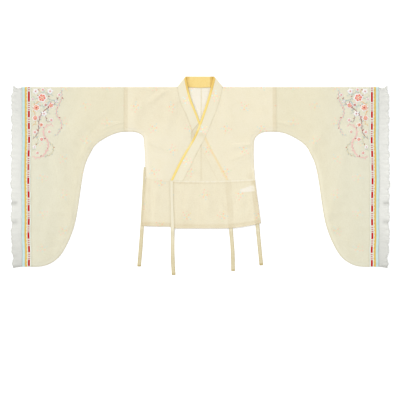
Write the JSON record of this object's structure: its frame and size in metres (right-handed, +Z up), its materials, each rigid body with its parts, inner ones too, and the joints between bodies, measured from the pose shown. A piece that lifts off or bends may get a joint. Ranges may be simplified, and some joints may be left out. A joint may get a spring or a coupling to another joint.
{
  "type": "hanfu top",
  "caption": "Cross-collared gauze top with very wide rounded sleeves, gathered cuff frills, a short waist panel and loose ties, laid out flat.",
  "frame": {"origin": "on the surface that the cloth lies on, under the middle of the whole outline", "axes": "+X along the sleeves towards the wearer's left, +Y towards the collar, +Z up off the surface, the way the front faces"},
  "size_m": [1.8918, 0.9936, 0.0091],
  "materials": {
    "gauze": "sheer matt gauze with a small scattered print",
    "sleeve_gauze": "sheer matt gauze with a small scattered print",
    "collar_gauze": "doubled matt gauze",
    "gold": "matt yellow-gold cotton",
    "ribbon": "woven ribbon with red dashes",
    "trim": "yellow braid with a scalloped edge",
    "binding": "pale blue-green satin ribbon",
    "frill": "sheer grey-white gauze, gathered",
    "tag": "plain white woven tape"
  },
  "bodies": {
    "root": {"body_left": "gauze", "body_right": "gauze", "overlap_left": "gauze", "overlap_right": "gauze", "sleeve_left": "sleeve_gauze", "sleeve_right": "sleeve_gauze", "cuff_ribbon_left": "ribbon", "cuff_ribbon_right": "ribbon", "cuff_trim_left": "trim", "cuff_trim_right": "trim", "cuff_binding_left": "binding", "cuff_binding_right": "binding", "cuff_frill_left": "frill", "cuff_frill_right": "frill", "collar": "collar_gauze", "collar_edging_left": "gold", "collar_edging_right": "gold", "collar_facing": "gold", "peplum_back": "gauze", "peplum_left": "gauze", "peplum_right": "gauze", "tie_right_side": "gauze", "tie_left_front": "gauze", "tie_right_front": "gauze", "tie_left_side": "gauze", "side_tag": "tag"}
  },
  "joints": []
}
